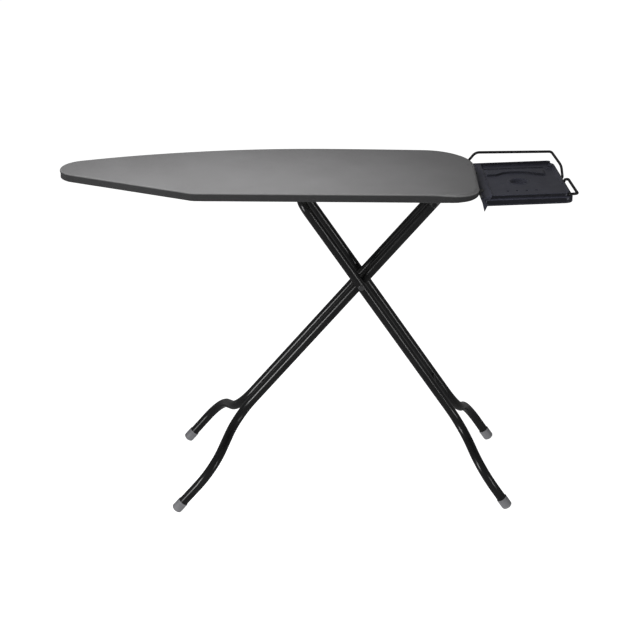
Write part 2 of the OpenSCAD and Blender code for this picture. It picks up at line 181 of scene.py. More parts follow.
def sweep(name, points, radius_at, segs):
    """Round tube along points, without twist. radius_at takes the share of the points gone by."""
    pts = [Vector(p) for p in points]
    tans = []
    for i, p in enumerate(pts):
        a = pts[max(0, i - 1)]
        b = pts[min(len(pts) - 1, i + 1)]
        tans.append((b - a).normalized())
    ref = Vector((0, 1, 0)) if abs(tans[0].y) < 0.9 else Vector((0, 0, 1))
    n = (ref - tans[0] * ref.dot(tans[0])).normalized()
    verts, faces = [], []
    for i, p in enumerate(pts):
        if i:
            q = tans[i - 1].rotation_difference(tans[i])
            n = q @ n
            n = (n - tans[i] * n.dot(tans[i])).normalized()
        b = tans[i].cross(n)
        r = radius_at(i / (len(pts) - 1))
        for k in range(segs):
            a = 2 * math.pi * k / segs
            verts.append(p + (n * math.cos(a) + b * math.sin(a)) * r)
    last = (len(pts) - 1) * segs
    for start in range(0, last, segs):
        faces += ring_faces(start, start + segs, segs)
    faces.append(tuple(reversed(range(segs))))
    faces.append(tuple(range(last, last + segs)))
    ob = link(name, verts, faces)
    outward(ob)
    return ob


def revolve(name, profile, origin, axis, segs=64):
    """Profile of (distance along axis, radius) turned about the axis."""
    axis = Vector(axis).normalized()
    side = axis.orthogonal().normalized()
    other = axis.cross(side)
    origin = Vector(origin)
    verts, faces = [], []
    for x, r in profile:
        for k in range(segs):
            a = 2 * math.pi * k / segs
            verts.append(origin + axis * x + (side * math.cos(a) + other * math.sin(a)) * max(r, 1e-6))
    for i in range(len(profile) - 1):
        faces += ring_faces(i * segs, (i + 1) * segs, segs)
    ob = link(name, verts, faces)
    bm = bmesh.new()
    bm.from_mesh(ob.data)
    bmesh.ops.remove_doubles(bm, verts=bm.verts, dist=2e-5)
    bmesh.ops.dissolve_degenerate(bm, edges=bm.edges, dist=1e-6)
    bmesh.ops.recalc_face_normals(bm, faces=bm.faces)
    bm.to_mesh(ob.data)
    bm.free()
    return ob


def add_bevel(ob, width):
    m = ob.modifiers.new("edge", "BEVEL")
    m.width = width
    m.segments = 2
    m.limit_method = "ANGLE"
    m.angle_limit = math.radians(40.0)
    m.harden_normals = False


def thicken(ob, thickness):
    """Gives a sheet its thickness, inward."""
    m = ob.modifiers.new("thick", "SOLIDIFY")
    m.thickness = thickness
    m.offset = -1.0


# ---------------------------------------------------------------- material helpers
def new_mat(name):
    """Empty material with one principled shader: the material, its shader and its Tree."""
    m = bpy.data.materials.new(name)
    m.use_nodes = True
    nt = m.node_tree
    nt.nodes.clear()
    out = nt.nodes.new("ShaderNodeOutputMaterial")
    bsdf = nt.nodes.new("ShaderNodeBsdfPrincipled")
    nt.links.new(bsdf.outputs[0], out.inputs[0])
    return m, bsdf, Tree(nt)


class Tree:
    """Short calls for building node trees."""

    def __init__(self, nt):
        self.nt = nt
        self.coord = nt.nodes.new("ShaderNodeTexCoord")

    def link(self, a, b):
        self.nt.links.new(a, b)

    def stretched(self, scale):
        n = self.nt.nodes.new("ShaderNodeMapping")
        n.inputs["Scale"].default_value = scale
        self.link(self.coord.outputs["Object"], n.inputs["Vector"])
        return n.outputs[0]

    def texture(self, kind, output, vec=None, **inputs):
        """Texture node on object coordinates, with the inputs given by name."""
        n = self.nt.nodes.new(kind)
        for key, value in inputs.items():
            n.inputs[key].default_value = value
        self.link(vec or self.coord.outputs["Object"], n.inputs["Vector"])
        return n, n.outputs[output]

    def noise(self, scale, detail=4.0, rough=0.5, vec=None):
        return self.texture("ShaderNodeTexNoise", "Fac", vec, Scale=scale, Detail=detail, Roughness=rough)[1]

    def yarns(self, direction):
        """Rows of yarn about 0.9 mm apart, slightly uneven."""
        n, out = self.texture("ShaderNodeTexWave", "Fac", Scale=175.0, Distortion=0.5, Detail=1.0)
        n.wave_type = "BANDS"
        n.bands_direction = direction
        return out

    def voronoi(self, scale):
        return self.texture("ShaderNodeTexVoronoi", "Distance", Scale=scale)[1]

    def ramp(self, fac, stops):
        n = self.nt.nodes.new("ShaderNodeValToRGB")
        els = n.color_ramp.elements
        els[0].position, els[0].color = stops[0][0], stops[0][1]
        els[1].position, els[1].color = stops[-1][0], stops[-1][1]
        for pos, col in stops[1:-1]:
            e = els.new(pos)
            e.color = col
        self.link(fac, n.inputs[0])
        return n.outputs[0]

    def mrange(self, fac, a, b, c, d):
        n = self.nt.nodes.new("ShaderNodeMapRange")
        for i, v in zip(("From Min", "From Max", "To Min", "To Max"), (a, b, c, d)):
            n.inputs[i].default_value = v
        self.link(fac, n.inputs["Value"])
        return n.outputs[0]

    def feed(self, sockets, values):
        """Links sockets to outputs, or sets them to plain values."""
        for sock, v in zip(sockets, values):
            if isinstance(v, (int, float, tuple)):
                sock.default_value = v
            else:
                self.link(v, sock)

    def math(self, op, a, b):
        n = self.nt.nodes.new("ShaderNodeMath")
        n.operation = op
        self.feed(n.inputs[:2], (a, b))
        return n.outputs[0]

    def mix(self, fac, a, b, blend="MIX"):
        n = self.nt.nodes.new("ShaderNodeMix")
        n.data_type = "RGBA"
        n.blend_type = blend
        self.feed((n.inputs[0], n.inputs[6], n.inputs[7]), (fac, a, b))
        return n.outputs[2]

    def times(self, a, b):
        return self.mix(1.0, a, b, "MULTIPLY")

    def bump(self, height, strength, distance, normal=None):
        n = self.nt.nodes.new("ShaderNodeBump")
        n.inputs["Strength"].default_value = strength
        n.inputs["Distance"].default_value = distance
        self.link(height, n.inputs["Height"])
        if normal is not None:
            self.link(normal, n.inputs["Normal"])
        return n.outputs[0]

    def place(self, axis):
        n = self.nt.nodes.new("ShaderNodeSeparateXYZ")
        self.link(self.coord.outputs["Object"], n.inputs[0])
        return n.outputs[axis]


WARM_GREY = (1.0, 0.98, 0.95)
WHITE = (1.0, 1.0, 1.0, 1.0)


def grey(v, tint=(1.0, 1.0, 1.0)):
    return (v * tint[0], v * tint[1], v * tint[2], 1.0)


def edge_wear(t, colour, wear_colour, amount):
    """Lighter worn metal on outside edges, broken up by noise."""
    g = t.nt.nodes.new("ShaderNodeNewGeometry")
    mask = t.ramp(g.outputs["Pointiness"], [(0.515, grey(0.0)), (0.60, grey(1.0))])
    broken = t.ramp(t.noise(60.0, 5.0, 0.6), [(0.48, grey(0.0)), (0.62, grey(1.0))])
    worn = t.times(t.times(mask, broken), grey(amount))
    return t.mix(worn, colour, wear_colour)


def mat_cover():
    """Plain woven cloth: grey on top, near black round the side."""
    m, b, t = new_mat("cover_cloth_mat")
    roll = t.mrange(t.place("X"), SOFT_X0, SOFT_X1, 0.0, 0.0060)
    top = t.mrange(t.math("ADD", t.place("Z"), roll), TOP_Z - 0.0052, TOP_Z - 0.0022, 0.0, 1.0)
    blotch = t.noise(7.0, 3.0, 0.5)
    fine = t.noise(420.0, 3.0, 0.6)
    face = t.ramp(blotch, [(0.30, grey(0.172, (1.0, 0.99, 1.0))), (0.70, grey(0.192, (1.0, 0.995, 1.005)))])
    cool = (1.0, 1.0, 1.04)
    side = t.ramp(blotch, [(0.30, grey(0.018, cool)), (0.70, grey(0.022, cool))])
    face = t.mix(t.mrange(fine, 0.35, 0.75, 0.0, 0.10), face, grey(0.33))
    side = t.mix(t.mrange(fine, 0.35, 0.75, 0.0, 0.10), side, grey(0.08))
    col = t.mix(top, side, face)
    warp, weft, upright = (t.math("ADD", t.yarns(axis), 0.15) for axis in "XYZ")
    mixed = t.mix(top, t.math("MULTIPLY", warp, upright), t.math("MULTIPLY", warp, weft))
    col = t.mix(t.mrange(mixed, 0.0, 1.0, 0.20, 0.0), col, grey(0.02))
    t.link(col, b.inputs["Base Color"])
    t.link(t.mrange(fine, 0.3, 0.7, 0.86, 0.97), b.inputs["Roughness"])
    b.inputs["Specular IOR Level"].default_value = 0.25
    b.inputs["Sheen Weight"].default_value = 0.04
    b.inputs["Sheen Roughness"].default_value = 0.5
    n1 = t.bump(mixed, 0.55, 0.0004)
    n2 = t.bump(t.noise(90.0, 4.0, 0.55), 0.25, 0.0006, n1)
    t.link(n2, b.inputs["Normal"])
    return m


def mat_foam():
    """Cream open-cell foam."""
    m, b, t = new_mat("pad_foam_mat")
    cells = t.voronoi(330.0)
    col = t.ramp(cells, [(0.0, grey(0.34, (1.0, 0.95, 0.82))), (0.5, grey(0.55, (1.0, 0.96, 0.86)))])
    t.link(col, b.inputs["Base Color"])
    t.link(t.mrange(t.noise(60.0), 0.3, 0.7, 0.85, 0.98), b.inputs["Roughness"])
    t.link(t.bump(cells, 0.6, 0.0008), b.inputs["Normal"])
    return m


def mat_paint(name, base, rough, peel, wear, spec):
    """Dark paint on steel; peel is the depth of its orange peel, wear the share of bared edges."""
    m, b, t = new_mat(name)
    tint = (1, 1, 1.03)
    cloud = t.noise(14.0, 3.0, 0.5)
    col = t.ramp(cloud, [(0.35, grey(base * 0.86, tint)), (0.68, grey(base * 1.18, tint))])
    if wear > 0:
        col = edge_wear(t, col, grey(0.22, WARM_GREY), wear)
    t.link(col, b.inputs["Base Color"])
    smear = t.noise(26.0, 5.0, 0.6)
    t.link(t.mrange(smear, 0.30, 0.72, rough * 0.80, rough * 1.30), b.inputs["Roughness"])
    b.inputs["Specular IOR Level"].default_value = spec
    orange = t.noise(310.0, 2.0, 0.5)
    dust = t.noise(900.0, 2.0, 0.5)
    n1 = t.bump(orange, peel, 0.0003)
    n2 = t.bump(dust, peel * 0.4, 0.0001, n1)
    t.link(n2, b.inputs["Normal"])
    return m


def painted_shade(t, colour, reach, sides):
    """The colour with painted shade: darker in the grooves, by ambient occlusion, and darker on upright
    faces, which the lamps above light less.
    """
    ao = t.nt.nodes.new("ShaderNodeAmbientOcclusion")
    ao.samples = 8
    ao.only_local = True
    ao.inputs["Distance"].default_value = reach
    # painted shade in grooves, in corners and under ledges
    groove_shade = t.ramp(ao.outputs["AO"], [(0.30, grey(0.05)), (0.92, grey(1.0))])
    split = t.nt.nodes.new("ShaderNodeSeparateXYZ")
    t.link(t.nt.nodes.new("ShaderNodeNewGeometry").outputs["True Normal"], split.inputs[0])
    # painted shade on upright faces
    upright = t.ramp(split.outputs["Z"], [(0.15, grey(sides)), (0.75, grey(1.0))])
    return t.times(t.times(colour, groove_shade), upright)


def mat_plastic(name, base, rough, tint, grain, depth, spec=0.5, shine=None, sides=None):
    """Moulded plastic with spark-eroded grain and faint handling marks, and, if asked for, painted shade in
    its grooves and on its upright faces.
    """
    m, b, t = new_mat(name)
    spread = 0.12
    cloud = t.noise(18.0, 4.0, 0.55)
    col = t.ramp(cloud, [(0.32, grey(base * (1 - spread), tint)), (0.70, grey(base * (1 + spread), tint))])
    g = t.nt.nodes.new("ShaderNodeNewGeometry")
    rub = t.ramp(g.outputs["Pointiness"], [(0.52, grey(0.0)), (0.62, grey(1.0))])
    rub = t.times(rub, t.ramp(t.noise(70.0, 4.0), [(0.45, grey(0)), (0.65, grey(0.35))]))
    col = t.mix(rub, col, grey(min(1.0, base * 2.6 + 0.03), tint))
    # painted shade in the grooves and on the upright faces
    if sides is not None:
        col = painted_shade(t, col, 0.007, sides)
    t.link(col, b.inputs["Base Color"])
    marks = t.noise(38.0, 6.0, 0.65)
    t.link(t.mrange(marks, 0.30, 0.72, rough * 0.85, min(1.0, rough * 1.22)), b.inputs["Roughness"])
    b.inputs["Specular IOR Level"].default_value = spec
    if shine:
        b.inputs["Specular Tint"].default_value = shine
    cells = t.voronoi(grain)
    n1 = t.bump(cells, depth, 0.00025)
    n2 = t.bump(t.noise(150.0, 3.0), depth * 0.35, 0.0003, n1)
    t.link(n2, b.inputs["Normal"])
    return m


def mat_steel(name, base, rough):
    """Plated steel with fine streaks and a little dirt."""
    m, b, t = new_mat(name)
    spangle = t.voronoi(160.0)
    streak = t.noise(60.0, 5.0, 0.6, vec=t.stretched((1.0, 9.0, 1.0)))
    dark, light = grey(base * 0.82, (1.0, 1.0, 1.03)), grey(base * 1.12, (1.0, 1.0, 1.02))
    col = t.ramp(spangle, [(0.0, dark), (0.6, light)])
    dirt = t.ramp(t.noise(45.0, 5.0, 0.6), [(0.55, grey(0.0)), (0.75, grey(0.5))])
    col = t.mix(dirt, col, grey(0.18, (1.0, 0.92, 0.80)))
    t.link(col, b.inputs["Base Color"])
    b.inputs["Metallic"].default_value = 1.0
    t.link(t.mrange(streak, 0.3, 0.7, rough * 0.8, rough * 1.35), b.inputs["Roughness"])
    t.link(t.bump(streak, 0.15, 0.0002), b.inputs["Normal"])
    return m


M_COVER = mat_cover()
M_FOAM = mat_foam()
M_LEG = mat_paint("leg_paint_mat", 0.0085, 0.20, peel=0.012, wear=0.0, spec=0.30)
M_FRAME = mat_paint("underframe_paint_mat", 0.016, 0.40, peel=0.20, wear=0.2, spec=0.35)
M_RAIL = mat_paint("rail_steel_mat", 0.030, 0.36, peel=0.18, wear=0.4, spec=0.4)
M_WIRE = mat_paint("guard_wire_mat", 0.0140, 0.28, peel=0.02, wear=0.0, spec=0.15)
M_FOOT = mat_plastic("foot_plastic_mat", 0.150, 0.55, (1.0, 1.0, 1.06), grain=700.0, depth=0.22)
# the tray's plastic gets painted shade in its grooves and on its upright faces
M_REST = mat_plastic("rest_plastic_mat", 0.0520, 0.34, (0.93, 0.95, 1.30), grain=620.0, depth=0.12,
                     shine=(0.86, 0.88, 1.0, 1.0), sides=0.10)
M_STEEL = mat_steel("bright_steel_mat", 0.52, 0.30)
M_BOLT = mat_steel("bolt_steel_mat", 0.20, 0.36)
M_NYLON = mat_plastic("black_nylon_mat", 0.014, 0.45, (1, 1, 1.02), grain=520.0, depth=0.2, spec=0.35)

SLOT_MAT = {
    "cover_cloth": M_COVER, "pad_foam": M_FOAM, "underframe_paint": M_FRAME,
    "rail_steel": M_RAIL, "leg_paint": M_LEG, "guard_wire": M_WIRE,
    "foot_plastic": M_FOOT, "rest_plastic": M_REST,
    "bright_steel": M_STEEL, "black_nylon": M_NYLON,
}
NODE_SLOT = {s["node"]: s["material_slot"] for s in frame["record"]["subparts"]}


def paint(ob, mat):
    ob.data.materials.clear()
    ob.data.materials.append(mat)


# the CAD's own nodes get their materials, and the visible edges a small rounding
for name, ob in NODES.items():
    paint(ob, SLOT_MAT[NODE_SLOT[name]])
paint(NODES["pivot_bolt"], M_BOLT)

# width of the rounding of each node's edges
EDGE = {
    "slide_rail": 0.0004, "height_rack": 0.0004, "rail_stops": 0.0006,
    "heel_bracket": 0.0005, "bracket_rivets": 0.0008, "heel_pin": 0.0007,
    "rest_arms": 0.0012, "arm_saddles": 0.0006, "arm_screws": 0.0006, "arm_plugs": 0.0008,
    "pivot_bolt": 0.0014, "bolt_washers": 0.0003, "lock_nut": 0.0006,
    "centre_spacer": 0.0005, "side_spacers": 0.0004, "slide_block": 0.0008,
    "block_cap": 0.0006, "block_screws": 0.0005, "release_lever": 0.0004,
    "lever_grip": 0.0014, "lever_pin": 0.0005, "lock_pin": 0.0004, "cross_ribs": 0.0004,
}
for name, width in EDGE.items():
    add_bevel(NODES[name], width)


# ---------------------------------------------------------------- board outline
TURN = math.radians(-2.1)                  # the board sits turned a little on its legs
TURN_X = PX - 0.120                        # about this place
LOOP_STEP = 0.0012


def edge_arcs():
    """Arcs of the outline before its turn: centre x and y, radius, from and to in degrees."""
    arc_x = PX - 0.100
    nose_r, near_r, far_r, long_r, bow_r = 0.068, 0.074, 0.130, 6.0, 1.750
    far_x = HEEL_X - 0.001 - far_r
    far_dy = math.sqrt((long_r - far_r) ** 2 - (far_x - arc_x) ** 2)
    far_a = math.degrees(math.atan2(far_dy, far_x - arc_x))
    return [
        (NOSE_X + nose_r, 0.0094, nose_r, 111.9, 246.4),
        (HEEL_X - 0.716, 0.040 - NEAR_HALF, 0.040, 246.4, 270.0),
        (HEEL_X - 0.005 - near_r, near_r - NEAR_HALF, near_r, 270.0, 358.5),
        (far_x, FAR_HALF - long_r + far_dy, far_r, 358.5, 360.0 + far_a),
        (arc_x, FAR_HALF - long_r, long_r, far_a, 90.0),
        (arc_x, FAR_HALF - bow_r, bow_r, 90.0, 111.9),
    ]


def turned(x, y):
    """The plan direction (x, y), turned as the board is."""
    c, s = math.cos(TURN), math.sin(TURN)
    return Vector((x * c - y * s, x * s + y * c))


def outline_loop():
    """Dense closed outline with its outward normals, anticlockwise from the nose's far side."""
    pts = []
    for cx, cy, r, a0, a1 in edge_arcs():
        n = max(4, int(abs(a1 - a0) * math.radians(1) * r / LOOP_STEP))
        for k in range(n + 1):
            a = math.radians(a0 + (a1 - a0) * k / n)
            p = turned(cx + r * math.cos(a) - TURN_X, cy + r * math.sin(a))
            pts.append((p + Vector((TURN_X, 0)), turned(math.cos(a), math.sin(a))))
    return pts


def arc_lengths(points):
    """Length gone by at each point, from the first."""
    s = [0.0]
    for a, b in zip(points, points[1:]):
        s.append(s[-1] + (b - a).length)
    return s


LOOP = outline_loop()
LOOP_S = arc_lengths([p for p, _ in LOOP])
LOOP_LEN = LOOP_S[-1] + (LOOP[0][0] - LOOP[-1][0]).length


def at(s):
    """Point and normal of the outline at arc length s."""
    s %= LOOP_LEN
    lo, hi = 0, len(LOOP_S) - 1
    if s >= LOOP_S[-1]:
        a, b = LOOP[-1], LOOP[0]
        w = (s - LOOP_S[-1]) / max(1e-9, LOOP_LEN - LOOP_S[-1])
    else:
        while hi - lo > 1:
            mid = (lo + hi) // 2
            if LOOP_S[mid] <= s:
                lo = mid
            else:
                hi = mid
        a, b = LOOP[lo], LOOP[hi]
        w = (s - LOOP_S[lo]) / max(1e-9, LOOP_S[hi] - LOOP_S[lo])
    return a[0].lerp(b[0], w), a[1].lerp(b[1], w).normalized()


def nearest_s(x, y):
    """Arc length of the outline's point nearest to (x, y)."""
    best = min(range(len(LOOP)), key=lambda i: (LOOP[i][0] - Vector((x, y))).length_squared)
    return LOOP_S[best]


S_NOSE = nearest_s(NOSE_X, 0.031)
S_HEEL = nearest_s(HEEL_X, 0.000)


def softness(s):
    """0 along the board, 1 at the heel, where the padding rolls over further."""
    return smooth(SOFT_X0, SOFT_X1, at(s)[0].x)


def chains(count):
    """Matching arc lengths along the near and far edges, nose to heel, evenly spaced."""
    near_len = (S_HEEL - S_NOSE) % LOOP_LEN
    far_len = LOOP_LEN - near_len
    shares = [i / count for i in range(count + 1)]
    return [S_NOSE + near_len * u for u in shares], [S_NOSE - far_len * u for u in shares]


def quarter_turn(inset, top, radius):
    """Rings of a rounded top edge; its radius depends on the softness."""
    def ring_at(a):
        def ring(soft):
            r = radius(soft)
            return inset + r * (1 - math.sin(a)), top - r * (1 - math.cos(a))
        return ring
    return [ring_at(math.radians(15 * k)) for k in range(7)]


def slab_mesh(name, rows, cols, rings):
    """Board-shaped sheet: a grid inside the first ring, then rings going out and round.
    A ring is (inset, z), or a function of the softness that gives it. rows run across, cols along.
    Returns the object, each ring's first vertex, and the arc length of a ring's vertices."""
    near, far = chains(cols)
    loop_s = near + list(reversed(far))[1:-1]          # closed: nose, near, heel, far
    n = len(loop_s)
    verts, faces = [], []

    def ring_point(s, ring):
        inset, z = ring(softness(s)) if callable(ring) else ring
        p, nrm = at(s)
        q = p - nrm * inset
        return Vector((q.x, q.y, z))

    first_z = rings[0][1]
    start = []
    for ring in rings:
        start.append(len(verts))
        for s in loop_s:
            verts.append(ring_point(s, ring))
    for a, b in zip(start, start[1:]):
        faces += [(a + i, b + i, b + (i + 1) % n, a + (i + 1) % n) for i in range(n)]

    # grid inside the first ring, from its near edge to its far edge
    grid = {}
    for i in range(1, cols):
        p, q = verts[i], verts[n - i]
        for j in range(1, rows):
            grid[i, j] = len(verts)
            v = p.lerp(q, j / rows)
            verts.append(Vector((v.x, v.y, first_z)))

    def corner(i, j):
        if i in (0, cols) or j == 0:
            return i
        return (n - i) % n if j == rows else grid[i, j]

    for i in range(cols):
        for j in range(rows):
            ids = []
            for v in (corner(i, j), corner(i + 1, j), corner(i + 1, j + 1), corner(i, j + 1)):
                if v not in ids:
                    ids.append(v)
            if len(ids) >= 3:
                faces.append(tuple(ids))
    ob = link(name, verts, faces)
    outward(ob)
    return ob, start, loop_s


# ---------------------------------------------------------------- foam pad
PAD_IN = 0.0020                             # the pad's side, inside the outline


def pad_radius(soft):
    return 0.0035 + 0.0040 * soft


def make_pad():
    """Foam slab under the cover, closed underneath."""
    lo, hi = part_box("foam_pad")
    z1, z0 = hi.z - 0.0003, lo.z

    def side(w):
        def ring(soft):
            r = pad_radius(soft)
            return PAD_IN + 0.0004 * math.sin(math.pi * w), z1 - r - (z1 - z0 - r) * w
        return ring

    rings = [(0.012, z1)]
    rings += quarter_turn(PAD_IN, z1, pad_radius)
    rings += [side(k / 4) for k in range(1, 4)]
    rings += [(0.0026, z0 + 0.0004), (0.0034, z0), (0.012, z0)]
    ob, _, _ = slab_mesh("foam_pad_piece", 24, 90, rings)
    me = ob.data
    bm = bmesh.new()
    bm.from_mesh(me)
    border = [e for e in bm.edges if e.is_boundary]
    bmesh.ops.holes_fill(bm, edges=border, sides=0)
    bmesh.ops.recalc_face_normals(bm, faces=bm.faces)
    bm.to_mesh(me)
    bm.free()
    paint(ob, M_FOAM)
    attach(ob, "board")
    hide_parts("foam_pad")
    return ob


# ---------------------------------------------------------------- cover
HEM_IN = 0.030                              # width of the hem turned under
HEM_R = 0.0028                              # radius of its fold
HEM_RINGS, PINNED_RINGS = 11, 6             # of the last rings: those gathered, and those held still
PLEAT = 0.0135                              # from one gather to the next
COVER_T = 0.0012
SINK, SWELL = 0.00025, 0.0006               # how far the cloth may settle in and lift off
MOVE_MAX = 0.0016
SETTLE_FRAMES = 20
SLACK = 0.00035


def cover_radius(soft):
    return 0.0048 + 0.0044 * soft


def fullness(s):
    """How much cloth is gathered at arc length s: little along straight edges, most at tight curves."""
    _, n0 = at(s - 0.030)
    _, n1 = at(s + 0.030)
    return 0.14 + 0.86 * min(1.0, n0.angle(n1) / 0.75)


def gather(me, ring_starts, loop_s):
    """Pleats the hem's rings, deeper towards its inner edge."""
    for ring, first in enumerate(ring_starts):
        depth = ring / (len(ring_starts) - 1)
        for i, s in enumerate(loop_s):
            wobble = noise.noise(Vector((s * 30.0, 3.1, 0.0)))
            pleat = math.sin(2 * math.pi * s / PLEAT + 2.5 * wobble)
            lift = 0.0011 * fullness(s) * depth * (pleat - 0.6) * (1.0 if depth > 0.3 else 0.5)
            me.vertices[first + i].co.z += lift
    me.update()


def make_cover():
    """Cloth over the pad, round its edge and turned under, with what holds it in the cloth run."""
    top = TOP_Z - 0.0004
    low = UNDER_Z + 0.0030

    def side(k):
        def ring(soft):
            r = cover_radius(soft)
            return 0.0002 + 0.0008 * math.sin(math.pi * k / 5), top - r - (top - r - low) * k / 4
        return ring

    rings = [(0.018, top), (0.013, top)]
    rings += quarter_turn(0.0, top, cover_radius)
    rings += [side(k) for k in range(1, 5)]
    for k in range(1, 5):
        a = math.radians(90 * k / 4)
        rings.append((0.0002 + HEM_R * (1 - math.cos(a)), low - HEM_R * math.sin(a)))
    for k in range(1, 8):
        rings.append((0.0030 + (HEM_IN - 0.0030) * k / 7, UNDER_Z + 0.0003))
    cols, rows = ((260, 84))
    ob, start, loop_s = slab_mesh("cover_piece", rows, cols, rings)
    gather(ob.data, start[-HEM_RINGS:], loop_s)

    pin = ob.vertex_groups.new(name="pin")
    held = range(start[-PINNED_RINGS], start[-1] + len(loop_s))
    pin.add(list(held), 1.0, "REPLACE")
    pin.add([v.index for v in ob.data.vertices if v.index not in held], 0.04, "REPLACE")
    return ob, start, loop_s


def settle(ob):
    """Cloth run: the cover is held by its hem and slackens a little. Nothing collides in it, so how
    far the cloth may go into and off the pad is limited afterwards."""
    before = [v.co.copy() for v in ob.data.vertices]
    normals = [v.normal.copy() for v in ob.data.vertices]
    cl = ob.modifiers.new("cloth", "CLOTH")
    st = cl.settings
    st.quality = 5
    st.mass = 0.25
    st.tension_stiffness = 12.0
    st.compression_stiffness = 4.0
    st.shear_stiffness = 4.0
    st.bending_stiffness = 0.4
    st.use_pressure = True
    st.uniform_pressure_force = 1.2
    st.vertex_group_mass = "pin"
    st.pin_stiffness = 1.0
    st.shrink_min = -0.012
    st.effector_weights.gravity = 0.15
    cl.collision_settings.use_collision = False
    cl.collision_settings.use_self_collision = False
    cl.point_cache.frame_start = 1
    cl.point_cache.frame_end = SETTLE_FRAMES
    scene.frame_start, scene.frame_end = 1, SETTLE_FRAMES
    for f in range(1, SETTLE_FRAMES + 1):
        scene.frame_set(f)
    settled = ob.evaluated_get(bpy.context.evaluated_depsgraph_get())
    after = [v.co.copy() for v in settled.data.vertices]
    ob.modifiers.remove(cl)
    scene.frame_set(1)
    for v, a, b, nrm in zip(ob.data.vertices, before, after, normals):
        d = b - a
        if not all(math.isfinite(c) for c in d):
            continue
        if d.length > MOVE_MAX:
            d = d.normalized() * MOVE_MAX
        away = d.dot(nrm)
        v.co = a + d + nrm * (min(max(away, -SINK), SWELL) - away)
    ob.data.update()


make_pad()
cover, c_start, c_s = make_cover()
settle(cover)

# long faint slackness over the pad
for v in cover.data.vertices:
    if v.co.z > TOP_Z - 0.006:
        wave = noise.noise(Vector((v.co.x * 4.0, v.co.y * 7.0, 1.7)))
        v.co.z += SLACK * wave - SLACK
    v.co.z = min(v.co.z, TOP_Z)
cover.data.update()
thicken(cover, COVER_T)
paint(cover, M_COVER)
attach(cover, "board")
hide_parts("cover")


def closed_tube(name, pts, r, segs=10):
    """Round tube along a closed path."""
    n = len(pts)
    verts, faces = [], []
    for i in range(n):
        t = (pts[(i + 1) % n] - pts[i - 1]).normalized()
        side = t.cross(Vector((0, 0, 1))).normalized()
        up = side.cross(t)
        for k in range(segs):
            a = 2 * math.pi * k / segs
            verts.append(pts[i] + (side * math.cos(a) + up * math.sin(a)) * r)
        faces += ring_faces(i * segs, (i + 1) % n * segs, segs)
    ob = link(name, verts, faces)
    outward(ob)
    return ob


# drawn hem: a gathered casing along the inner edge of the turned-under cloth
hem_edge = [cover.data.vertices[c_start[-1] + i].co + Vector((0, 0, 0.0012)) for i in range(len(c_s))]
casing = closed_tube("cover_hem_casing", hem_edge, 0.0021)
for v in casing.data.vertices:
    v.co.z += 0.0004 * noise.noise(v.co * 120.0)
paint(casing, M_COVER)
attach(casing, "board")

# ---------------------------------------------------------------- legs
SPLAY, SPLAY_R = math.radians(62.0), 0.115  # turn by which the tubes spread, and their bends' radius
CAP_R, CAP_LEN, DOME_R = 0.0148, 0.030, 0.020
CAP_EDGE = math.sqrt(DOME_R ** 2 - CAP_R ** 2)
TAIL_PAST_CAP = 0.008                       # how far the tube reaches past the centre of its cap's dome
RING_STEP = 0.012                           # longest stretch between a tube's rings


def leg_centre_line(top_x, flat, bend, run, step, cap_x):
    """Centre line of one hairpin, as (down the leg, across), from the near foot over the top to the far.

    flat is half the straight top, bend the radius of its corners, run the straight length below them,
    step the sideways step to the foot, and cap_x where the cap's dome has its centre."""
    slant = (step - 2 * SPLAY_R * (1 - math.cos(SPLAY))) / math.sin(SPLAY)
    x, y = top_x, flat
    pts = [(x, 0.0), (x, y)]
    for k in range(1, 19):
        a = math.radians(90 * k / 18)
        pts.append((x + bend * (1 - math.cos(a)), y + bend * math.sin(a)))
    x, y = pts[-1][0] + run, pts[-1][1]
    pts.append((x, y))
    angles = [SPLAY * k / 12 for k in range(1, 13)]
    pts += [(x + SPLAY_R * math.sin(a), y + SPLAY_R * (1 - math.cos(a))) for a in angles]
    x, y = pts[-1][0] + slant * math.cos(SPLAY), pts[-1][1] + slant * math.sin(SPLAY)
    pts.append((x, y))
    for a in angles:
        dx = SPLAY_R * (math.sin(SPLAY) - math.sin(SPLAY - a))
        dy = SPLAY_R * (math.cos(SPLAY - a) - math.cos(SPLAY))
        pts.append((x + dx, y + dy))
    pts.append((cap_x + TAIL_PAST_CAP, pts[-1][1]))
    near = [(a, -b) for a, b in reversed(pts[1:])]
    return near + pts


def make_leg(which, line, origin, direction):
    """Painted tube along the centre line, thinner where it is bent under the board."""
    world = resample([origin + direction * a + Vector((0, 1, 0)) * b for a, b in line], RING_STEP)
    middle = min(range(len(world)), key=lambda i: abs(world[i].y) - world[i].z)

    def radius_at(share):
        away = abs(share * (len(world) - 1) - middle) * RING_STEP
        return TOP_R + (TUBE_R - TOP_R) * smooth(0.07, 0.15, away)

    ob = sweep(f"{which}_leg_tube", world, radius_at, 48)
    paint(ob, M_LEG)
    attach(ob, f"{which}_leg")
    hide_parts(f"{which}_leg")


def cap_profile():
    """Foot cap: rolled lip, shallow grip grooves and a domed sole."""
    back = CAP_EDGE - CAP_LEN
    lip = 0.0010
    p = [(back + 0.0030, TUBE_R - 0.0001), (back + 0.0004, TUBE_R + 0.0002)]
    for k in range(7):
        a = math.radians(180 - 15 * k)
        p.append((back + lip + lip * math.cos(a), CAP_R - lip + lip * math.sin(a)))
    p += [(back + 0.0046, CAP_R), (back + 0.0052, CAP_R - 0.0005), (back + 0.0060, CAP_R - 0.0006),
          (back + 0.0068, CAP_R - 0.0005), (back + 0.0074, CAP_R)]
    sleeve, sleeve_end = back + 0.0074, CAP_EDGE - 0.0026
    p += [(sleeve + (sleeve_end - sleeve) * k / 8, CAP_R) for k in range(1, 9)]
    # small radius between the sleeve and the domed sole
    p += [(sleeve_end + 0.0030 * w, CAP_R - 0.0008 * w * w) for w in (0.2, 0.4, 0.6, 0.8)]
    for k in range(0, 13):
        a = math.asin(CAP_R / DOME_R) * 0.93 * (1 - k / 12)
        p.append((DOME_R * math.cos(a), DOME_R * math.sin(a)))
    return p


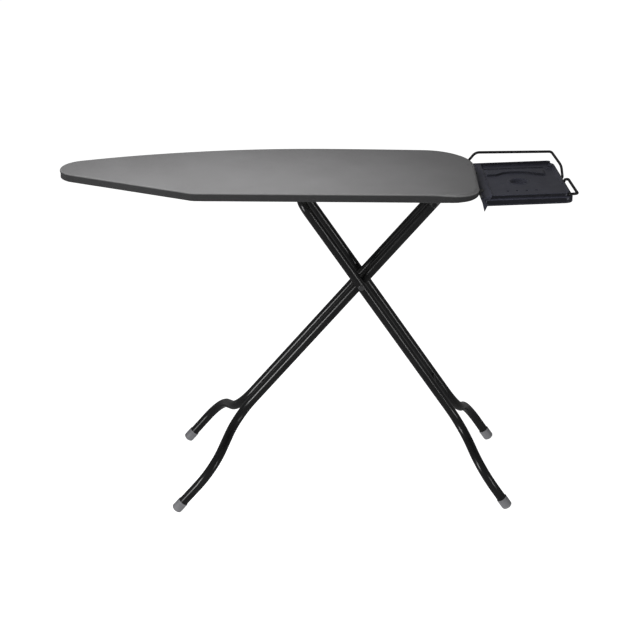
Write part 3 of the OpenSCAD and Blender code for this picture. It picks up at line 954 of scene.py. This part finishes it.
def make_caps(which, origin, direction, cap_x, foot_y):
    for side, sign in (("near", -1), ("far", 1)):
        centre = origin + direction * cap_x + Vector((0, sign * foot_y, 0))
        ob = revolve(f"{which}_{side}_cap", cap_profile(), centre, direction)
        paint(ob, M_FOOT)
        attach(ob, f"{which}_leg")
        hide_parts(f"{which}_foot_{side}")


# which leg, its top's height and place, its angle, which way it runs, then its centre line's sizes
caps = []
for which, top_z, x, angle, way, top_x, flat, bend, run, step in (
        ("outer", OUTER_TOP, OUTER_X, OUTER_ANGLE, 1, 0.0, 0.010, 0.044, 0.6985, 0.1408),
        ("inner", INNER_TOP, INNER_X, INNER_ANGLE, -1, -0.029, 0.002, 0.025, 0.7615, 0.1727)):
    origin = Vector((x, 0, top_z))
    direction = Vector((way * math.cos(angle), 0, -math.sin(angle)))
    cap_x = (top_z - DOME_R) / math.sin(angle)
    make_leg(which, leg_centre_line(top_x, flat, bend, run, step, cap_x), origin, direction)
    caps.append((which, origin, direction, cap_x, flat + bend + step))
for cap in caps:
    make_caps(*cap)

# ---------------------------------------------------------------- iron rest
REST_X0 = HEEL_X + 0.003
REST_Z = 0.891                              # its top where it meets the board
REST_TILT = math.radians(2.0)
REST_T = 0.0022
PLATE_X1 = REST_X0 + 0.219                  # the plate stands on a wider skirt
PLATE_NEAR, PLATE_FAR = 0.1365, 0.1450
PLATE_CORNER = 0.012
# wall of the plate, ledge with a rounded nose, then the skirt with its groove: (depth, out)
SKIRT = [(0.0012, 0.0), (0.0068, 0.0), (0.0078, 0.0005), (0.0082, 0.0014), (0.0084, 0.0058),
         (0.0088, 0.0075), (0.0098, 0.0085), (0.0112, 0.0088), (0.0160, 0.0089), (0.0195, 0.0089),
         (0.0202, 0.0080), (0.0212, 0.0080), (0.0219, 0.0089), (0.0238, 0.0089), (0.0247, 0.0084),
         (0.0250, 0.0074), (0.0250, 0.0052)]
BRIDGES = (0.072, 0.112, 0.150)             # along the tray, across its far channel
VENTS = (0.067, 0.0905, 0.116, 0.141)
RIDGE_X = 0.0228                            # the apron's ridge, from the board's side
TAB_DROP = 0.0350
WIRE_R = 0.0036


def tilted(co):
    """A place of the level tray, moved to where the tray's tilt puts it."""
    dx, dz = co[0] - REST_X0, co[2] - REST_Z
    c, s = math.cos(REST_TILT), math.sin(REST_TILT)
    return Vector((REST_X0 + dx * c - dz * s, co[1], REST_Z + dx * s + dz * c))


def bumpy(x, c, w):
    """A bump of height 1 at c, about w wide each way."""
    d = (x - c) / w
    return math.exp(-d * d)


def wavy_y(dx):
    """The embossed line's place across the tray, at dx along it."""
    return 0.033 + 0.0185 * smooth(0.050, 0.085, dx) - 0.0285 * smooth(0.116, 0.190, dx)


def ridge_x(y):
    """Where the apron's ridge runs, bending towards the board at its far end."""
    return RIDGE_X - 0.0156 * smooth(0.03, 0.15, y) ** 3.6


def rest_height(x, y):
    """Height of the tray's moulded top against its rim, in metres."""
    dx0, dx1 = x - REST_X0, PLATE_X1 - x
    dy = min(PLATE_NEAR + y, PLATE_FAR - y)
    edge = min(dx1, dy)
    floor = -0.0024 * smooth(0.0025, 0.0060, edge)
    # border band at the right
    floor += 0.0012 * (1 - smooth(0.0065, 0.0085, dx1)) * smooth(0.006, 0.009, dy)
    # far strip, lower than the body, with a channel in it and three bridges
    strip = smooth(0.0865, 0.0900, y) * smooth(0.0265, 0.0300, dx0)
    floor -= 0.0055 * strip * smooth(0.0030, 0.0055, dy)
    channel = smooth(0.0940, 0.0965, y) * (1 - smooth(0.1100, 0.1122, y))
    channel *= smooth(0.031, 0.034, dx0) * (1 - smooth(0.190, 0.193, dx0))
    for bx in BRIDGES:
        channel *= 1 - 0.85 * bumpy(dx0, bx, 0.0022)
    floor -= 0.0062 * channel
    # rounded pocket at the far right corner
    q = math.hypot((dx0 - 0.207) / 0.011, (y - 0.095) / 0.015)
    floor += 0.0042 * bumpy(q, 1.05, 0.20) - 0.0034 * (1 - smooth(0.70, 0.95, q))
    # the body's own far edge, a fine raised line
    line = smooth(0.028, 0.034, dx0) * smooth(0.012, 0.018, dx1)
    floor += 0.0012 * bumpy(y, 0.0852, 0.0016) * line
    # embossed wavy line
    fade = smooth(0.026, 0.034, dx0) * (1 - smooth(0.178, 0.188, dx0))
    wy = wavy_y(dx0)
    floor += fade * 0.0042 * smooth(wy - 0.0010, wy + 0.0010, y) * (1 - smooth(0.060, 0.084, y))
    floor -= fade * 0.0016 * bumpy(y, wy - 0.0030, 0.0022)
    # round dish with a low lip
    q = math.hypot(dx0 - 0.106, y + 0.022)
    floor += 0.0010 * bumpy(q, 0.0265, 0.0028) - 0.0080 * (1 - smooth(0.0150, 0.0240, q))
    # row of vent dimples
    for vent in VENTS:
        q = math.hypot(dx0 - vent, y + 0.097)
        floor -= 0.0026 * (1 - smooth(0.0020, 0.0036, q))
    # apron: falls away towards the board from a ridge
    rx = ridge_x(y)
    apron = 1 - smooth(rx - 0.0016, rx + 0.0016, dx0)
    fall = -0.0004 - 0.0092 * max(0.0, (rx - dx0) / 0.0268)
    floor = floor * (1 - apron) + apron * fall
    floor += 0.0021 * bumpy(dx0, rx, 0.0017) * (1 - 0.7 * smooth(0.06, 0.12, y))
    return floor


def rounded_corner(x, y):
    """A place on the square plate, drawn in where the plate's corners are round."""
    rc = PLATE_CORNER
    cx0, cx1, cy0, cy1 = REST_X0 + rc, PLATE_X1 - rc, rc - PLATE_NEAR, PLATE_FAR - rc
    ax = max(0.0, x - cx1) if x > cx1 else min(0.0, x - cx0)
    ay = max(0.0, y - cy1) if y > cy1 else min(0.0, y - cy0)
    if not (ax and ay):
        return x, y
    share = max(abs(ax), abs(ay)) / math.hypot(ax, ay)
    return (cx1 if ax > 0 else cx0) + ax * share, (cy1 if ay > 0 else cy0) + ay * share


def make_rest():
    """Tray: a moulded plate with a ledge and a skirt round it."""
    nx, ny = ((200, 240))
    verts, faces = [], []
    idx = {}
    for i in range(nx + 1):
        for j in range(ny + 1):
            x = REST_X0 + (PLATE_X1 - REST_X0) * i / nx
            y = -PLATE_NEAR + (PLATE_NEAR + PLATE_FAR) * j / ny
            edge = min(i, nx - i, j, ny - j)
            z = REST_Z + rest_height(x, y) - {0: 0.0009, 1: 0.0002}.get(edge, 0.0)
            idx[i, j] = len(verts)
            verts.append(Vector((*rounded_corner(x, y), z)))
    for i in range(nx):
        for j in range(ny):
            faces.append((idx[i, j], idx[i + 1, j], idx[i + 1, j + 1], idx[i, j + 1]))
    loop = [(i, 0) for i in range(nx)] + [(nx, j) for j in range(ny)]
    loop += [(i, ny) for i in range(nx, 0, -1)] + [(0, j) for j in range(ny, 0, -1)]
    rim = [idx[k] for k in loop]
    m = len(rim)
    prev = rim
    for depth, out in SKIRT:
        cur = []
        for k in range(m):
            base, a, b = verts[rim[k]], verts[rim[k - 1]], verts[rim[(k + 1) % m]]
            t = Vector((b.x - a.x, b.y - a.y, 0)).normalized()
            nrm = Vector((t.y, -t.x, 0))
            # no ledge on the board's side
            pos = Vector((base.x, base.y, 0)) + nrm * (out * smooth(-0.95, -0.25, nrm.x))
            rim_z = base.z if base.x > REST_X0 + 0.020 else min(base.z, REST_Z - 0.0009)
            z = REST_Z - depth
            cur.append(len(verts))
            verts.append(Vector((pos.x, pos.y, rim_z - 0.0001 if z > rim_z else z)))
        faces += [(prev[k], cur[k], cur[(k + 1) % m], prev[(k + 1) % m]) for k in range(m)]
        prev = cur
    ob = link("iron_rest_tray", [tilted(v) for v in verts], faces)
    outward(ob)
    thicken(ob, REST_T)
    paint(ob, M_REST)
    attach(ob, "board")
    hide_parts("iron_rest")


def make_tab():
    """Pointed corner where the apron folds down over the tray's near left edge."""
    rows = fillet([(-0.1130, 0.0, 0.0), (-0.1350, 0.0, -0.0002), (-0.1545, 0.0, -TAB_DROP)], [0.006], 8)
    rows = resample(rows, 0.0015)
    length = arc_lengths(rows)
    cols = 12
    verts, faces = [], []
    for q, gone in zip(rows, length):
        drop = min(1.0, -q.z / TAB_DROP)
        left = -0.0002 - 0.0055 * smooth(0.0, 0.35, gone / length[-1]) + 0.0052 * drop
        right = max(RIDGE_X - 0.0222 * drop, left + 0.0024)
        fall = 0.0090 * (1 - drop)
        for c in range(cols + 1):
            u = c / cols
            dx = left + (right - left) * u
            z = q.z + 0.0006 - fall * (1 - u) + 0.0012 * bumpy(u, 1.0, 0.10) * (1 - drop)
            verts.append(tilted((REST_X0 + dx, q.x, REST_Z + z)))
    for r in range(len(rows) - 1):
        for c in range(cols):
            a = r * (cols + 1) + c
            faces.append((a, a + 1, a + cols + 2, a + cols + 1))
    ob = link("rest_tab", verts, faces)
    if ob.data.polygons[0].normal.z < 0:
        ob.data.flip_normals()
    thicken(ob, REST_T)
    paint(ob, M_REST)
    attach(ob, "board")


make_rest()
make_tab()


def guard_wire(name, node, points, radii):
    """Bent wire that guards the tray, with its inner corners rounded by radii."""
    ob = sweep(name, fillet(points, radii), lambda share: WIRE_R, 20)
    paint(ob, M_WIRE)
    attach(ob, "board")
    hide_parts(node)


guard_wire("back_guard_wire", "back_guard", [
    (PX + 0.2360, 0.082, 0.8790), (PX + 0.2440, 0.112, 0.8810), (PX + 0.2640, 0.134, 0.8835),
    (PX + 0.2860, 0.138, 0.8860), (PX + 0.2990, 0.138, 0.9030), (PX + 0.3150, 0.138, 0.9235),
    (PX + 0.5215, 0.138, 0.9250), (PX + 0.5520, 0.138, 0.8850), (PX + 0.5590, 0.138, 0.8460),
    (PX + 0.5150, 0.138, 0.8470), (PX + 0.5140, 0.138, 0.8830)],
    [0.018, 0.016, 0.014, 0.030, 0.022, 0.012, 0.040, 0.008, 0.007])

guard_wire("side_guard_wire", "side_guard", [
    tilted((REST_X0 + dx, y, REST_Z - 0.004)) for dx, y in
    ((0.2135, -0.060), (0.2372, 0.010), (0.2392, -0.1325), (0.2150, -0.1365))],
    [0.005, 0.007])

# ---------------------------------------------------------------- light and floor
def area_light(name, loc, target, size_x, size_y, energy):
    d = bpy.data.lights.new(name, "AREA")
    d.energy = energy
    d.shape = "RECTANGLE"
    d.size, d.size_y = size_x, size_y
    o = bpy.data.objects.new(name, d)
    o.location = loc
    o.rotation_euler = (Vector(target) - Vector(loc)).to_track_quat("-Z", "Y").to_euler()
    o.visible_camera = False
    scene.collection.objects.link(o)
    return o


key = area_light("key", (-0.31, -0.20, 1.40), (-0.31, -0.14, 0.92), 1.05, 0.70, 7.3)
key.visible_glossy = False
area_light("strip_left", (-2.2, -1.9, 0.72), (0.0, 0, 0.55), 0.55, 1.3, 44)
area_light("strip_right", (2.3, -2.1, 0.80), (0.1, 0, 0.55), 0.40, 1.3, 18)

world = bpy.data.worlds.new("studio")
scene.world = world
world.use_nodes = True
background = world.node_tree.nodes["Background"]
background.inputs["Color"].default_value = WHITE
background.inputs["Strength"].default_value = 0.16

m, b, t = new_mat("floor_mat")
t.link(t.ramp(t.noise(3.0, 3.0), [(0.3, grey(0.90)), (0.7, grey(0.93))]), b.inputs["Base Color"])
b.inputs["Roughness"].default_value = 0.9
b.inputs["Specular IOR Level"].default_value = 0.1
b.inputs["Emission Color"].default_value = WHITE
b.inputs["Emission Strength"].default_value = 0.90
HALF = 20.0
corners = [(-HALF, -HALF, 0), (HALF, -HALF, 0), (HALF, HALF, 0), (-HALF, HALF, 0)]
floor = link("floor", corners, [(0, 1, 2, 3)], False)
paint(floor, m)
floor.visible_glossy = False
